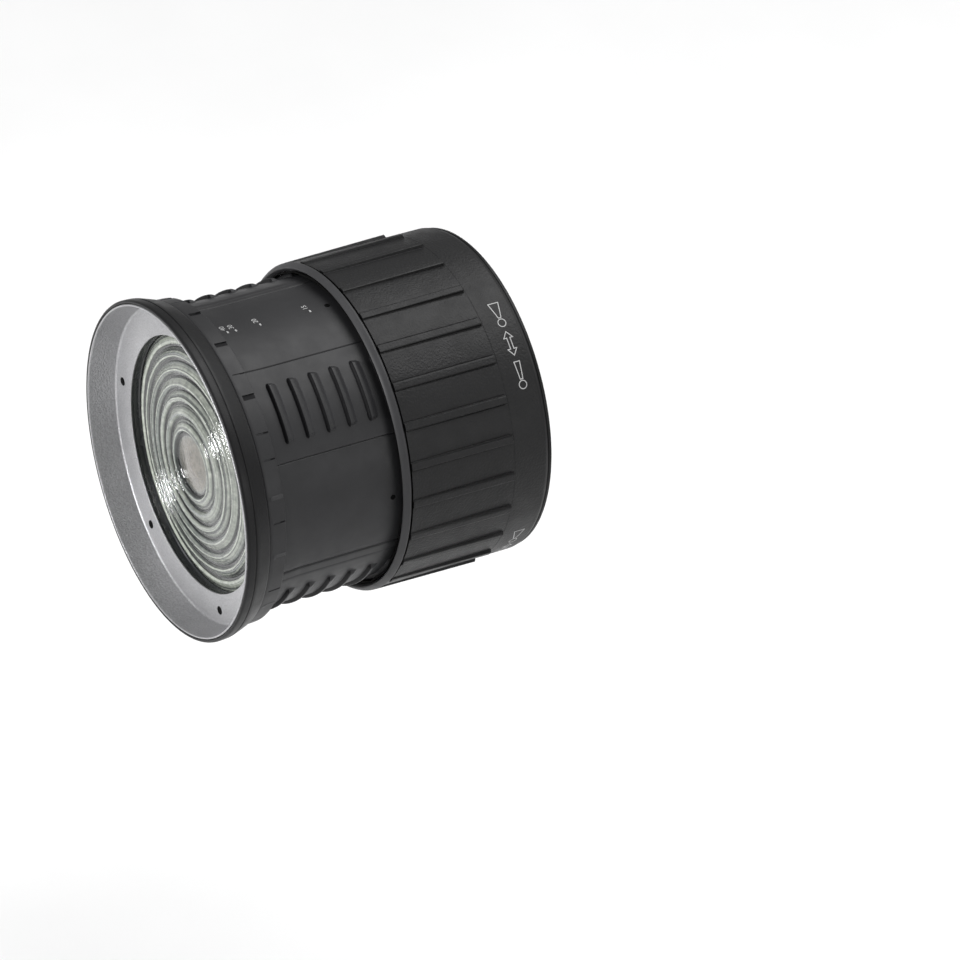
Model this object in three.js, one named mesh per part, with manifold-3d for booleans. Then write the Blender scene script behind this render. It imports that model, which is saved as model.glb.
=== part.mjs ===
// Zooming Fresnel lens attachment for a studio lamp, in millimetres.
//
// The optical axis is the Y axis. The lens faces -Y, the bayonet that goes into the lamp faces +Y,
// and the origin is on the axis in the plane of the rear mounting face. +Z is up, where the beam
// scale is. Angles are in degrees from +Z towards +X, which is also how a turn about +Y counts.
//
// Turning the zoom ring turns a cam sleeve. Its helical slots drive three followers, which a fixed
// guide sleeve keeps from turning, so the lens barrel slides straight in and out.

import * as THREE from "three";
import { mergeVertices } from "three/addons/utils/BufferGeometryUtils.js";
import Module from "manifold-3d";

const wasm = await Module();
wasm.setup();

// ---------------------------------------------------------------- driving dimensions

const LENGTH = 205.3; // front rim to rear mounting face
const RIM_RADIUS = 104.7; // the widest circle, on the front bezel
const TRAVEL = 74; // how far the barrel slides in
const TURN = 120; // how far the zoom ring turns for that travel

const FINE = 36; // sides of an outer ring
const COARSE = 24; // sides of an inner ring
const SCREW_SIDES = 8;
const GAP = 0.3; // between two pieces that rest on or run past each other
const SHEET = 1.8; // thickness of an inner flange

const BEZEL = { back: 14.5, backRadius: 101.3, boreRadius: 102.2 };
const DISH = { lipRadius: 103, lipFront: -2, depth: 16, wallRadius: 98.8, sheet: 0.8 };
const OPENING_RADIUS = 79.3; // the clear opening in front of the glass
const GASKET = { inner: 79.9, outer: 83.2, front: 17.2 };
const LENS = { radius: 82.5, front: 23.8, edge: 4.2, apex: 14.4, dome: 7.4, steps: 6, fall: 3.2 };
const CELL = { radius: 96.8, wall: 1.2, seatThickness: 2.7 };
const BAND = { front: 14.9, back: 26, radius: 100.4 };
const BARREL = { radius: 92.4, bore: 90.2, front: 26.3, back: 123, shoulderRadius: 96.6 };
const RIDGE = { first: 38.8, pitch: 13.8, count: 6, width: 8.4, height: 2.6 };
const CARRIER = { bore: 88.2, radius: 89.7, front: 94 };
const GUIDE = { bore: 85.8, radius: 87.6, front: 106 };
const CAM = { bore: 96.4, radius: 98.1, front: 110.5, back: 198.2 };
const FOLLOWER = { radius: 3, depth: 118.5, slotHalfWidth: 3.5, angles: [60, 180, 300] };
const COLLAR = { front: 104, back: 109.4, radius: 101.7, frontRadius: 99.3, bore: 97.6 };
const SEAL = { front: 105.2, inner: 96.2 };
const RING = { front: 109.9, back: 202.6, bore: 98.6, frontRadius: 100.6, backRadius: 101 };
const RIBS = { count: 26, front: 110.8, back: 178.5, width: 2.7, frontRadius: 101.8, backRadius: 103 };
const KEY = { front: 186, back: 197, width: 6, inner: 97, outer: 99.7, angles: [0, 120, 240] };
const PLATE = { front: 203, radius: 100.2, bore: 58.4 };
const HUB = { front: 197.6, bore: 93.4, radius: 95.2 };
const FLANGE = { condenser: 63, bayonet: 72, guide: 76 }; // edges of the three flanges on the plate
const CIRCLIP = { front: 198.6, back: 199.7, inner: 94.6, outer: 97.2, gap: 24 };
const BAYONET = { bore: 49, neck: 55, lug: 61.5, end: 217, lugFront: 211.8, lugBack: 216, lugWidth: 40 };
const CONDENSER = { radius: 53.6, back: 181, edge: 3, bulge: 9.5, cellLength: 16 };

// Raised panels on the barrel: the middle and the width of each, and how long its ridges are.
// Half a turn brings the pattern back onto itself.
const RIDGED_PANELS = [
  { centre: 38.7, width: 35.6, ridge: 23.4 },
  { centre: 131.3, width: 57.4, ridge: 33.5 },
  { centre: 218.7, width: 35.6, ridge: 23.4 },
  { centre: 311.3, width: 57.4, ridge: 33.5 },
];
const PANEL = { front: 30, back: 119, rise: 0.5 };
const NOTCH = { front: 17.8, depth: 0.5, halfWidth: 0.8, angles: [9.5, 31.5, 44.5, 53.5, 66.5, 75.5, 88] };
const TAB = { front: 22.7, back: 28.6, rise: 0.5, halfWidth: 3, angles: [-38, 142] };
const LUG_ANGLES = [0, 120, 240];

const SCREW = { shank: 1.5, hole: 1.8, head: 3, countersink: 1.5 };
const DISH_SCREW = { circle: 89.8, head: 2.6, angles: [30, 90, 150, 210, 270, 330] };
const BARREL_SCREW = { depth: 100.9, head: 1.6, shank: 1.1, angles: [0, 81, 136, 180, 261, 316] };
const HOUSING_SCREW = { circle: 81, angles: [45, 135, 225, 315] };
const BAYONET_SCREW = { circle: 66, angles: [30, 150, 270] };

// ---------------------------------------------------------------- materials

function finish(color, roughness, metalness = 0) {
  return new THREE.MeshStandardMaterial({ color, roughness, metalness });
}

const FINISHES = {
  satinBlack: finish(0x26262a, 0.42),
  barrelGrey: finish(0x48484b, 0.5),
  ringGrain: finish(0x2c2c2e, 0.72),
  collarGrey: finish(0x5c5c5e, 0.45),
  silver: finish(0xc4c4c6, 0.38, 0.85),
  innerAluminium: finish(0x8d8f92, 0.45, 0.8),
  steel: finish(0xb0b2b5, 0.3, 0.9),
  blackSteel: finish(0x151517, 0.4, 0.6),
  rubber: finish(0x121213, 0.85),
  felt: finish(0x1b1b1c, 0.95),
  brass: finish(0xb08d46, 0.35, 0.9),
  glass: new THREE.MeshStandardMaterial({
    color: 0xd5ddd6,
    roughness: 0.05,
    transparent: true,
    opacity: 0.4,
  }),
};

// ---------------------------------------------------------------- geometry helpers

// The Y coordinate of a plane that lies `depth` behind the front rim.
const at = (depth) => depth - LENGTH;

const radians = THREE.MathUtils.degToRad;

// A point on the cylinder of radius r about the axis.
function polar(r, angle, depth) {
  return new THREE.Vector3(r * Math.sin(radians(angle)), at(depth), r * Math.cos(radians(angle)));
}

// A closed three.js geometry as a manifold-3d solid whose faces point out.
function solid(geometry) {
  const bare = geometry.clone();
  bare.deleteAttribute("normal");
  bare.deleteAttribute("uv");
  const merged = mergeVertices(bare, 1e-4);
  const triVerts = new Uint32Array(merged.index.array);
  const vertProperties = new Float32Array(merged.attributes.position.array);
  const made = new wasm.Manifold(new wasm.Mesh({ numProp: 3, vertProperties, triVerts }));
  if (made.volume() > 0) return made;
  const flipped = triVerts.slice().reverse();
  return new wasm.Manifold(new wasm.Mesh({ numProp: 3, vertProperties, triVerts: flipped }));
}

// A manifold-3d solid as a three.js geometry.
function geometryOf(body) {
  const mesh = body.getMesh();
  const stride = mesh.numProp;
  const positions = new Float32Array(mesh.numVert * 3);
  for (let i = 0; i < mesh.numVert; i++) {
    positions.set(mesh.vertProperties.subarray(i * stride, i * stride + 3), i * 3);
  }
  const geometry = new THREE.BufferGeometry();
  geometry.setAttribute("position", new THREE.BufferAttribute(positions, 3));
  geometry.setIndex(new THREE.BufferAttribute(mesh.triVerts, 1));
  geometry.computeVertexNormals();
  return geometry;
}

// A ring about the axis. The profile is a closed list of [radius, depth] corners.
function ring(profile, sides = COARSE) {
  const points = profile.map(([r, depth]) => new THREE.Vector2(r, at(depth)));
  points.push(points[0].clone());
  return solid(new THREE.LatheGeometry(points, sides));
}

// A tube with a rectangular section.
const tube = (inner, outer, front, back, sides) =>
  ring([[inner, front], [outer, front], [outer, back], [inner, back]], sides);

// A disc or lens about the axis. The profile runs from the axis back to the axis.
function disc(profile, sides = COARSE) {
  const points = profile.map(([r, depth]) => new THREE.Vector2(r, at(depth)));
  return solid(new THREE.LatheGeometry(points, sides));
}

// A solid through a row of convex sections that all have the same number of points.
function loft(sections) {
  const size = sections[0].length;
  const positions = sections.flat().flatMap((point) => point.toArray());
  const index = [];
  for (let s = 0; s + 1 < sections.length; s++) {
    for (let i = 0; i < size; i++) {
      const a = s * size + i;
      const b = s * size + ((i + 1) % size);
      index.push(a, b, a + size, b, b + size, a + size);
    }
  }
  const last = (sections.length - 1) * size;
  for (let i = 1; i + 1 < size; i++) {
    index.push(0, i + 1, i);
    index.push(last, last + i, last + i + 1);
  }
  const geometry = new THREE.BufferGeometry();
  geometry.setAttribute("position", new THREE.Float32BufferAttribute(positions, 3));
  geometry.setIndex(index);
  return solid(geometry);
}

// A block that follows the cylinder: from one angle to another, between two radii and two depths.
function arcBlock(inner, outer, from, to, front, back, steps = 3) {
  const sections = [];
  for (let i = 0; i <= steps; i++) {
    const angle = from + ((to - from) * i) / steps;
    sections.push([
      polar(inner, angle, front),
      polar(outer, angle, front),
      polar(outer, angle, back),
      polar(inner, angle, back),
    ]);
  }
  return loft(sections);
}

// A cylinder whose axis is radial, from one radius to another.
function radialPin(radius, inner, outer, angle, depth, sides = 10) {
  const geometry = new THREE.CylinderGeometry(radius, radius, outer - inner, sides);
  geometry.rotateX(Math.PI / 2);
  geometry.translate(0, 0, (inner + outer) / 2);
  geometry.rotateY(radians(angle));
  geometry.translate(0, at(depth), 0);
  return solid(geometry);
}

// A cylinder parallel to the axis.
function axialPin(radius, front, back, circle, angle, sides = SCREW_SIDES) {
  const centre = polar(circle, angle, (front + back) / 2);
  const geometry = new THREE.CylinderGeometry(radius, radius, back - front, sides);
  geometry.translate(centre.x, centre.y, centre.z);
  return solid(geometry);
}

function joined(body, pieces) {
  return pieces.reduce((sum, piece) => sum.add(piece), body);
}

function cut(body, tools) {
  return tools.reduce((rest, tool) => rest.subtract(tool), body);
}

const part = new THREE.Group();

function place(name, body, material) {
  const mesh = new THREE.Mesh(geometryOf(body), material);
  mesh.name = name;
  part.add(mesh);
}

// ---------------------------------------------------------------- front group

function frontBezel() {
  return ring(
    [
      [BEZEL.boreRadius, -0.5],
      [RIM_RADIUS - 1.2, -0.5],
      [RIM_RADIUS, 1.5],
      [RIM_RADIUS - 0.6, 5.5],
      [BEZEL.backRadius, BEZEL.back],
      [BEZEL.boreRadius - 1.3, BEZEL.back],
      [BEZEL.boreRadius - 1.3, 12],
      [BEZEL.boreRadius, 11],
    ],
    FINE,
  );
}

function reflectorDish() {
  const sheet = DISH.sheet;
  const body = ring(
    [
      [DISH.lipRadius, DISH.lipFront],
      [DISH.lipRadius, DISH.lipFront + sheet],
      [DISH.lipRadius - 1.2, DISH.lipFront + sheet],
      [DISH.wallRadius + 0.6, DISH.depth + sheet],
      [OPENING_RADIUS, DISH.depth + sheet],
      [OPENING_RADIUS, DISH.depth],
      [DISH.wallRadius, DISH.depth],
      [DISH.lipRadius - 2, DISH.lipFront],
    ],
    FINE,
  );
  const holes = DISH_SCREW.angles.map((angle) =>
    axialPin(SCREW.hole, DISH.depth - 2, DISH.depth + 3, DISH_SCREW.circle, angle),
  );
  return cut(body, holes);
}

// Stepped front face on a domed base: every zone falls away outwards, then a riser jumps forwards.
function fresnelLens() {
  const width = (OPENING_RADIUS - 1) / LENS.steps;
  const riser = 0.4;
  const base = (r) => LENS.apex + LENS.dome * (r / OPENING_RADIUS) ** 2;
  const profile = [[0, LENS.apex]];
  for (let step = 1; step <= LENS.steps; step++) {
    const end = width * step;
    profile.push([end, base(end - width) + LENS.fall]);
    if (step < LENS.steps) profile.push([end + riser, base(end + riser)]);
  }
  profile.push([width * LENS.steps + riser, LENS.front + 0.2]);
  profile.push([LENS.radius, LENS.front + 0.2]);
  profile.push([LENS.radius, LENS.front + LENS.edge]);
  profile.push([0, LENS.front + LENS.edge]);
  return disc(profile);
}

function lensCell() {
  const front = DISH.depth + DISH.sheet + GAP;
  const seat = LENS.front + LENS.edge + 0.4;
  const spigot = BARREL.bore - 0.5;
  const body = ring([
    [LENS.radius + CELL.wall, front],
    [CELL.radius, front],
    [CELL.radius, BAND.back - 0.1],
    [spigot, BAND.back - 0.1],
    [spigot, seat + CELL.seatThickness],
    [OPENING_RADIUS + GAP, seat + CELL.seatThickness],
    [OPENING_RADIUS + GAP, seat],
    [LENS.radius + CELL.wall, seat],
  ]);
  const holes = DISH_SCREW.angles.map((angle) =>
    axialPin(SCREW.hole, DISH.depth, BAND.back - 1.5, DISH_SCREW.circle, angle),
  );
  return cut(body, holes);
}

// The ring behind the bezel that accessories clip to, with short notches and two opposite tabs.
function accessoryBand() {
  const shell = ring(
    [
      [BAND.radius - 0.7, BAND.front],
      [BAND.radius, BAND.front],
      [BAND.radius, BAND.back],
      [BAND.radius - 3.1, BAND.back],
      [BAND.radius - 3.1, DISH.depth + 1.2],
      [BAND.radius - 0.7, DISH.depth + 1.2],
    ],
    FINE,
  );
  const floor = BAND.radius - NOTCH.depth;
  const tabTop = BAND.radius + TAB.rise;
  const notches = NOTCH.angles
    .flatMap((angle) => [angle, -angle, 180 - angle, 180 + angle])
    .map((angle) => [angle - NOTCH.halfWidth, angle + NOTCH.halfWidth])
    .map(([from, to]) => arcBlock(floor, BAND.radius + 1, from, to, NOTCH.front, BAND.back + 1, 1));
  const tabs = TAB.angles
    .map((angle) => [angle - TAB.halfWidth, angle + TAB.halfWidth])
    .map(([from, to]) => arcBlock(BAND.radius - 2.6, tabTop, from, to, TAB.front, TAB.back, 2));
  return joined(cut(shell, notches), tabs);
}

// ---------------------------------------------------------------- barrel

// One rounded bar that runs round the barrel and fades out at both ends.
function ridge(centre, length, depth) {
  const steps = 4;
  const foot = BARREL.radius - 0.8;
  const sections = [];
  for (let i = 0; i <= steps; i++) {
    const angle = centre - length / 2 + (length * i) / steps;
    const end = i === 0 || i === steps;
    const top = BARREL.radius + (end ? PANEL.rise + 0.2 : RIDGE.height);
    sections.push([
      polar(foot, angle, depth - RIDGE.width / 2),
      polar(top, angle, depth - RIDGE.width / 5),
      polar(top, angle, depth + RIDGE.width / 5),
      polar(foot, angle, depth + RIDGE.width / 2),
    ]);
  }
  return loft(sections);
}

function barrelShell() {
  const tubeBody = ring(
    [
      [BARREL.bore, BARREL.front],
      [BARREL.shoulderRadius, BARREL.front],
      [BARREL.shoulderRadius, BARREL.front + 1],
      [BARREL.radius + 1, BARREL.front + 2],
      [BARREL.radius, BARREL.front + 10],
      [BARREL.radius, BARREL.back],
      [BARREL.bore, BARREL.back],
    ],
    FINE,
  );
  const raised = [];
  for (const { centre, width, ridge: length } of RIDGED_PANELS) {
    const from = centre - width / 2;
    const to = centre + width / 2;
    const steps = Math.round(width / 9);
    const top = BARREL.radius + PANEL.rise;
    raised.push(arcBlock(BARREL.radius - 1, top, from, to, PANEL.front, PANEL.back, steps));
    for (let i = 0; i < RIDGE.count; i++) {
      raised.push(ridge(centre, length, RIDGE.first + RIDGE.pitch * i));
    }
  }
  const from = BARREL.bore - 2;
  const to = BARREL.shoulderRadius;
  const holes = [
    ...FOLLOWER.angles.map((angle) => radialPin(FOLLOWER.radius + 0.4, from, to, angle, FOLLOWER.depth)),
    ...BARREL_SCREW.angles.map((angle) => radialPin(SCREW.hole, from, to, angle, BARREL_SCREW.depth)),
  ];
  return cut(joined(tubeBody, raised), holes);
}

// Stiffening ring inside the barrel's rear end. It carries the followers.
function followerCarrier() {
  const body = tube(CARRIER.bore, CARRIER.radius, CARRIER.front, BARREL.back);
  const from = CARRIER.bore - 2;
  const to = CARRIER.radius + 2;
  const shankHole = BARREL_SCREW.shank + GAP;
  const holes = [
    ...FOLLOWER.angles.map((angle) => radialPin(FOLLOWER.radius + 0.4, from, to, angle, FOLLOWER.depth)),
    ...BARREL_SCREW.angles.map((angle) => radialPin(shankHole, from, to, angle, BARREL_SCREW.depth)),
  ];
  return cut(body, holes);
}

function camFollower(angle) {
  return radialPin(FOLLOWER.radius, GUIDE.bore + 0.4, CAM.radius - 0.1, angle, FOLLOWER.depth);
}

function barrelScrew(angle) {
  const { depth, head: headRadius, shank: shankRadius } = BARREL_SCREW;
  const headBack = BARREL.bore + 0.4;
  const head = radialPin(headRadius, headBack, BARREL.radius, angle, depth, SCREW_SIDES);
  const shank = radialPin(shankRadius, CARRIER.bore, headBack + 0.1, angle, depth, SCREW_SIDES);
  return head.add(shank);
}

// ---------------------------------------------------------------- zoom ring

function zoomRing() {
  const body = ring(
    [
      [RING.bore, RING.front],
      [RING.frontRadius, RING.front],
      [RING.backRadius, RIBS.back + 3],
      [RING.backRadius, RING.back - 1.6],
      [RING.backRadius - 0.9, RING.back],
      [RING.bore, RING.back],
      [RING.bore, RING.back - 0.5],
      [HUB.radius + 0.4, RING.back - 0.5],
      [HUB.radius + 0.4, RING.back - 2.5],
      [RING.bore, RING.back - 2.5],
    ],
    RIBS.count * 2,
  );
  const ribs = [];
  for (let i = 0; i < RIBS.count; i++) ribs.push(gripRib((360 / RIBS.count) * i));
  const { front, back, width, outer, angles } = KEY;
  const half = THREE.MathUtils.radToDeg((width / 2 + 0.4) / outer);
  const keyways = angles.map((angle) =>
    arcBlock(RING.bore - 2, outer + 0.4, angle - half, angle + half, front - 0.4, back + 0.4, 1),
  );
  return cut(joined(body, ribs), keyways);
}

// A long narrow rib. Its far end slopes down to the ring.
function gripRib(centre) {
  const stations = [
    [RIBS.front, RIBS.frontRadius],
    [RIBS.back - 1.5, RIBS.backRadius],
    [RIBS.back, RIBS.backRadius - 1],
  ];
  const half = RIBS.width / 2;
  const foot = RING.frontRadius - 0.6;
  const sections = stations.map(([depth, top]) => [
    polar(foot, centre - half, depth),
    polar(top, centre - half, depth),
    polar(top, centre + half, depth),
    polar(foot, centre + half, depth),
  ]);
  return loft(sections);
}

function ringCollar() {
  return ring(
    [
      [COLLAR.bore, COLLAR.front],
      [COLLAR.frontRadius, COLLAR.front],
      [COLLAR.radius, COLLAR.back - 1],
      [COLLAR.radius, COLLAR.back],
      [COLLAR.bore, COLLAR.back],
    ],
    FINE,
  );
}

// A slot cutter along the helix that one follower runs in.
function helixCutter(angle) {
  const steps = 10;
  const margin = FOLLOWER.slotHalfWidth / TRAVEL;
  const meanRadius = (CAM.bore + CAM.radius) / 2;
  const arc = radians(TURN) * meanRadius;
  const slope = Math.hypot(arc, TRAVEL);
  const across = FOLLOWER.slotHalfWidth;
  const turnShift = THREE.MathUtils.radToDeg((across * TRAVEL) / slope / meanRadius);
  const depthShift = (across * arc) / slope;
  const sections = [];
  for (let i = 0; i <= steps; i++) {
    const t = -margin + ((1 + 2 * margin) * i) / steps;
    const turn = angle - TURN * t;
    const depth = FOLLOWER.depth + TRAVEL * t;
    sections.push([
      polar(CAM.bore - 1, turn - turnShift, depth - depthShift),
      polar(CAM.radius + 1, turn - turnShift, depth - depthShift),
      polar(CAM.radius + 1, turn + turnShift, depth + depthShift),
      polar(CAM.bore - 1, turn + turnShift, depth + depthShift),
    ]);
  }
  return loft(sections);
}

function camSleeve() {
  const body = tube(CAM.bore, CAM.radius, CAM.front, CAM.back);
  const { front, width, outer, angles } = KEY;
  const half = THREE.MathUtils.radToDeg((width / 2 + 0.4) / outer);
  const keySlots = angles.map((angle) =>
    arcBlock(CAM.bore - 1, CAM.radius + 1, angle - half, angle + half, front - 0.4, CAM.back + 1, 1),
  );
  return cut(body, [...FOLLOWER.angles.map(helixCutter), ...keySlots]);
}

function driveKey(angle) {
  const half = THREE.MathUtils.radToDeg(KEY.width / 2 / KEY.outer);
  return arcBlock(KEY.inner, KEY.outer, angle - half, angle + half, KEY.front, KEY.back, 1);
}

// ---------------------------------------------------------------- fixed rear group

function guideSleeve() {
  const flangeBack = PLATE.front - GAP;
  const body = ring([
    [GUIDE.bore, GUIDE.front],
    [GUIDE.radius, GUIDE.front],
    [GUIDE.radius, flangeBack],
    [FLANGE.guide, flangeBack],
    [FLANGE.guide, flangeBack - SHEET],
    [GUIDE.bore, flangeBack - SHEET],
  ]);
  const half = THREE.MathUtils.radToDeg(FOLLOWER.slotHalfWidth / GUIDE.radius);
  const front = FOLLOWER.depth - FOLLOWER.slotHalfWidth - 1;
  const back = FOLLOWER.depth + TRAVEL + FOLLOWER.slotHalfWidth + 1;
  const slots = FOLLOWER.angles.map((angle) =>
    arcBlock(GUIDE.bore - 1, GUIDE.radius + 1, angle - half, angle + half, front, back, 1),
  );
  const holes = HOUSING_SCREW.angles.map((angle) =>
    axialPin(SCREW.hole, PLATE.front - 3, PLATE.front + 1, HOUSING_SCREW.circle, angle),
  );
  return cut(body, [...slots, ...holes]);
}

// The back plate, with the short hub that the zoom ring turns on.
function rearHousing() {
  const { front, radius, bore } = PLATE;
  const body = ring(
    [
      [bore, front],
      [HUB.bore, front],
      [HUB.bore, HUB.front],
      [HUB.radius, HUB.front],
      [HUB.radius, CIRCLIP.front - GAP],
      [CIRCLIP.inner - GAP, CIRCLIP.front - GAP],
      [CIRCLIP.inner - GAP, CIRCLIP.back + GAP],
      [HUB.radius, CIRCLIP.back + GAP],
      [HUB.radius, front],
      [radius, front],
      [radius, LENGTH - 0.5],
      [radius - 0.5, LENGTH],
      [bore, LENGTH],
    ],
    FINE,
  );
  const holes = [];
  for (const { circle, angles } of [HOUSING_SCREW, BAYONET_SCREW]) {
    for (const angle of angles) {
      holes.push(axialPin(SCREW.hole, front - 1, LENGTH + 1, circle, angle));
      holes.push(axialPin(SCREW.head + GAP, LENGTH - SCREW.countersink, LENGTH + 1, circle, angle));
    }
  }
  return cut(body, holes);
}

// Countersunk screw in the back plate, head to the rear.
function plateScrew(circle, angle) {
  const headFront = LENGTH - SCREW.countersink + GAP;
  const head = axialPin(SCREW.head, headFront, LENGTH - 0.1, circle, angle);
  const shank = axialPin(SCREW.shank, PLATE.front - 2, headFront + 0.1, circle, angle);
  return head.add(shank);
}

function dishScrew(angle) {
  const { circle, head: headRadius } = DISH_SCREW;
  const head = axialPin(headRadius, DISH.depth - 1.2, DISH.depth - GAP, circle, angle);
  const shank = axialPin(SCREW.shank, DISH.depth - 0.4, BAND.back - 2, circle, angle);
  return head.add(shank);
}

// A spring clip in the hub's groove. It keeps the zoom ring from sliding forwards.
function ringCirclip() {
  const { inner, outer, front, back, gap } = CIRCLIP;
  const half = gap / 2;
  return arcBlock(inner, outer, 180 + half, 540 - half, front, back, 48);
}

// Neck with three lugs that lock behind the lamp's flange.
function bayonetMount() {
  const { bore, neck, lug, end, lugFront, lugBack, lugWidth } = BAYONET;
  const flangeBack = PLATE.front - GAP;
  const body = ring([
    [bore, flangeBack - SHEET],
    [FLANGE.bayonet, flangeBack - SHEET],
    [FLANGE.bayonet, flangeBack],
    [PLATE.bore - 0.4, flangeBack],
    [PLATE.bore - 0.4, LENGTH + 0.4],
    [neck, LENGTH + 0.9],
    [neck, end - 0.8],
    [neck - 0.8, end],
    [bore, end],
  ]);
  const lugs = LUG_ANGLES.map((centre) =>
    arcBlock(neck - 2, lug, centre - lugWidth / 2, centre + lugWidth / 2, lugFront, lugBack, 4),
  );
  const holes = BAYONET_SCREW.angles.map((angle) =>
    axialPin(SCREW.hole, PLATE.front - 3, PLATE.front + 1, BAYONET_SCREW.circle, angle),
  );
  return cut(joined(body, lugs), holes);
}

// Tapered holder of the rear lens, clamped in front of the bayonet.
function condenserCell() {
  const back = PLATE.front - GAP - SHEET - GAP;
  const { radius, back: lensBack, cellLength } = CONDENSER;
  return ring([
    [BAYONET.bore + 1, back],
    [FLANGE.condenser, back],
    [FLANGE.condenser, back - SHEET],
    [BAYONET.bore + 4, back - SHEET],
    [radius + 3, lensBack - cellLength],
    [radius + 0.6, lensBack - cellLength],
    [radius + 0.6, lensBack + 0.4],
    [radius - 2.6, lensBack + 0.4],
    [BAYONET.bore + 1, back - 3],
  ]);
}

function condenserLens() {
  const { radius, back, edge, bulge } = CONDENSER;
  const steps = 5;
  const profile = [];
  for (let i = 0; i <= steps; i++) {
    const t = i / steps;
    profile.push([radius * t, back - edge - bulge * (1 - t * t)]);
  }
  profile.push([radius, back]);
  profile.push([0, back]);
  return disc(profile);
}

function condenserRetainer() {
  const { radius, back, edge } = CONDENSER;
  return tube(radius - 1.2, radius + 0.3, back - edge - 3.4, back - edge - 1.2);
}

// ---------------------------------------------------------------- assembly

place("front_bezel", frontBezel(), FINISHES.satinBlack);
place("reflector_dish", reflectorDish(), FINISHES.silver);
DISH_SCREW.angles.forEach((angle, i) => {
  place(`dish_screw_${i + 1}`, dishScrew(angle), FINISHES.blackSteel);
});
place("lens_gasket", tube(GASKET.inner, GASKET.outer, GASKET.front, LENS.front - 0.2), FINISHES.rubber);
place("fresnel_lens", fresnelLens(), FINISHES.glass);
place("lens_cell", lensCell(), FINISHES.innerAluminium);
place("accessory_band", accessoryBand(), FINISHES.barrelGrey);
place("barrel_shell", barrelShell(), FINISHES.barrelGrey);
place("follower_carrier", followerCarrier(), FINISHES.innerAluminium);
BARREL_SCREW.angles.forEach((angle, i) => {
  place(`barrel_screw_${i + 1}`, barrelScrew(angle), FINISHES.blackSteel);
});
FOLLOWER.angles.forEach((angle, i) => {
  place(`cam_follower_${i + 1}`, camFollower(angle), FINISHES.brass);
});

place("zoom_ring", zoomRing(), FINISHES.ringGrain);
place("ring_collar", ringCollar(), FINISHES.collarGrey);
place("light_seal", tube(SEAL.inner, COLLAR.bore - 0.6, SEAL.front, COLLAR.back - 0.2), FINISHES.felt);
place("cam_sleeve", camSleeve(), FINISHES.innerAluminium);
KEY.angles.forEach((angle, i) => {
  place(`drive_key_${i + 1}`, driveKey(angle), FINISHES.steel);
});

place("guide_sleeve", guideSleeve(), FINISHES.innerAluminium);
place("rear_housing", rearHousing(), FINISHES.satinBlack);
place("ring_circlip", ringCirclip(), FINISHES.steel);
place("bayonet_mount", bayonetMount(), FINISHES.innerAluminium);
HOUSING_SCREW.angles.forEach((angle, i) => {
  place(`housing_screw_${i + 1}`, plateScrew(HOUSING_SCREW.circle, angle), FINISHES.blackSteel);
});
BAYONET_SCREW.angles.forEach((angle, i) => {
  place(`bayonet_screw_${i + 1}`, plateScrew(BAYONET_SCREW.circle, angle), FINISHES.blackSteel);
});
place("condenser_cell", condenserCell(), FINISHES.satinBlack);
place("condenser_lens", condenserLens(), FINISHES.glass);
place("condenser_retainer", condenserRetainer(), FINISHES.blackSteel);

export default part;
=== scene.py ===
# Zooming Fresnel lens attachment: the looks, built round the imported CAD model.
#
# Metres, in the CAD model's frame: the optical axis is Y, the lens faces -Y, +Z is up, and the
# origin is in the plane of the rear mounting face. Profiles are written in millimetres as
# (radius, depth), where depth counts from the front rim towards the lamp. Angles are in degrees
# from +Z towards +X.

import math

import bmesh
import bpy
import numpy as np
from mathutils import Matrix, Vector


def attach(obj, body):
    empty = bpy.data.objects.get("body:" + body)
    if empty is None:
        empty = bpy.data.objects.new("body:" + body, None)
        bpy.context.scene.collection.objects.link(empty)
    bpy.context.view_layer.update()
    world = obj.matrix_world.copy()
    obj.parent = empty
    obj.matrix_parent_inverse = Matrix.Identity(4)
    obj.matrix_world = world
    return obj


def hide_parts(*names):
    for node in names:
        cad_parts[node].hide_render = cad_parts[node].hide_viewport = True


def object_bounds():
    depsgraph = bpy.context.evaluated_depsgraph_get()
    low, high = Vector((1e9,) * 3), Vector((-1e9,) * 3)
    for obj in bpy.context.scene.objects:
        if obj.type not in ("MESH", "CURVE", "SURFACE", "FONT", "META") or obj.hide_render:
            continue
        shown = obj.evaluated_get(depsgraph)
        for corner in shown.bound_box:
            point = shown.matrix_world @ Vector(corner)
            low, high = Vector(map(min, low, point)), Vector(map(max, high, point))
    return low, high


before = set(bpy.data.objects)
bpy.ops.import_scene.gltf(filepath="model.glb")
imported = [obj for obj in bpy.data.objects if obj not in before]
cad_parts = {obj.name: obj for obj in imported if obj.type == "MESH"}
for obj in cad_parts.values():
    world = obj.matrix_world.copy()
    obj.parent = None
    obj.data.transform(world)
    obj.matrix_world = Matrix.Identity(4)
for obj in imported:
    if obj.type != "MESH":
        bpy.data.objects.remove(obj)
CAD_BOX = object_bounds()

MM = 0.001
LENGTH = 205.3  # front rim to rear mounting face, mm
FRONT, RING, REAR = "lens_barrel", "zoom_ring", "rear_housing"  # the three bodies
FINE, COARSE = 256, 192  # sides of the rings that show most, and of the others


# ---------------------------------------------------------------- geometry helpers

CORNER_STEPS = 3
CORNER_SHARE = 0.45  # of an edge that one rounded corner may take
SMALLEST_CORNER = 0.02
DISC_SHARP = 25.0


def point(radius, angle, depth):
    """A point on the cylinder of that radius, in metres."""
    a = math.radians(angle)
    return Vector((radius * math.sin(a), depth - LENGTH, radius * math.cos(a))) * MM


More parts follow.
